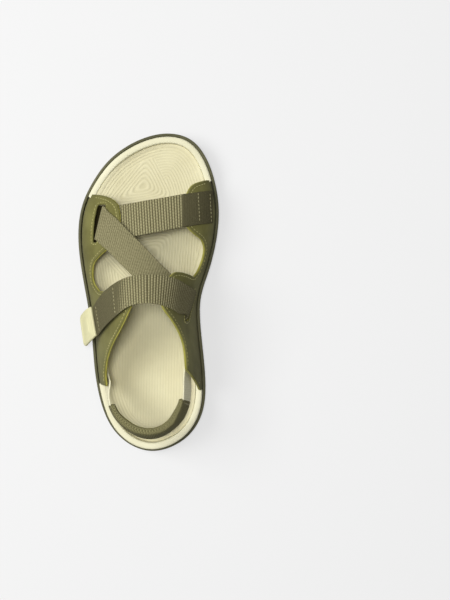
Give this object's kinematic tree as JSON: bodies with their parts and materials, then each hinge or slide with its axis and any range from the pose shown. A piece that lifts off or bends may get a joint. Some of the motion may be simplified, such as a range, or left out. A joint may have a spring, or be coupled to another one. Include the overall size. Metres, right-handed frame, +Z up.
{
  "type": "strappy sport sandal",
  "caption": "Left sport sandal: rubber cup sole, foam footbed, slotted side panels, a continuous webbing with a hook-and-loop closure over the instep, and a padded elastic heel strap.",
  "frame": {"origin": "under the middle of the sole's bounding box, on the floor", "axes": "+Y toward the toe, +X toward the medial (big toe) side, +Z up"},
  "size_m": [0.1108, 0.2498, 0.0758],
  "materials": {
    "rubber_outsole": "matte",
    "foam_cream": "soft matt foam",
    "board": "fibre board",
    "microfibre_olive": "matte nubuck",
    "lining_lime": "knit",
    "webbing_khaki": "ribbed weave",
    "thread_olive": "thread",
    "hook_loop_dark": "napped",
    "tab_pale": "soft matt",
    "elastic_pale": "ribbed elastic"
  },
  "bodies": {
    "sole_and_upper": {"outsole": "rubber_outsole", "midsole": "foam_cream", "insole_board": "board", "footbed": "foam_cream", "lateral_panel": "microfibre_olive", "medial_panel": "microfibre_olive", "lateral_lining": "lining_lime", "medial_lining": "lining_lime", "lateral_edge_stitching": "thread_olive", "medial_edge_stitching": "thread_olive", "lateral_slot_stitching": "thread_olive", "medial_slot_stitching": "thread_olive", "toe_instep_webbing": "webbing_khaki", "toe_strap_stitching": "thread_olive", "loop_patch": "hook_loop_dark", "loop_patch_stitching": "thread_olive", "heel_anchor_lateral": "elastic_pale", "heel_anchor_medial": "elastic_pale"},
    "closure_strap": {"closure_webbing": "webbing_khaki"},
    "closure_end": {"closure_flap": "webbing_khaki", "flap_stitching": "thread_olive", "hook_patch": "hook_loop_dark", "pull_tab": "tab_pale"},
    "heel_strap": {"heel_elastic": "elastic_pale", "heel_sleeve": "microfibre_olive", "heel_pad": "foam_cream", "heel_sleeve_lining": "lining_lime", "heel_sleeve_stitching": "thread_olive"}
  },
  "joints": [
    {"name": "strap_open", "type": "hinge", "parent": "sole_and_upper", "child": "closure_strap", "pos_m": [0.03231, -0.00934, 0.03316], "axis": [0.2223, 0.7388, -0.6362], "range_deg": [0, 70]},
    {"name": "strap_peel", "type": "hinge", "parent": "closure_strap", "child": "closure_end", "pos_m": [-0.0198, -0.00246, 0.06271], "axis": [-0.0884, 0.9059, -0.4143], "range_deg": [0, 100]},
    {"name": "heel_strap_swing", "type": "hinge", "parent": "sole_and_upper", "child": "heel_strap", "pos_m": [0.0015, -0.0625, 0.037], "axis": [0.9961, 0.0816, 0.0327], "range_deg": [-25, 6], "stiffness_Nm_per_rad": 0.3}
  ]
}
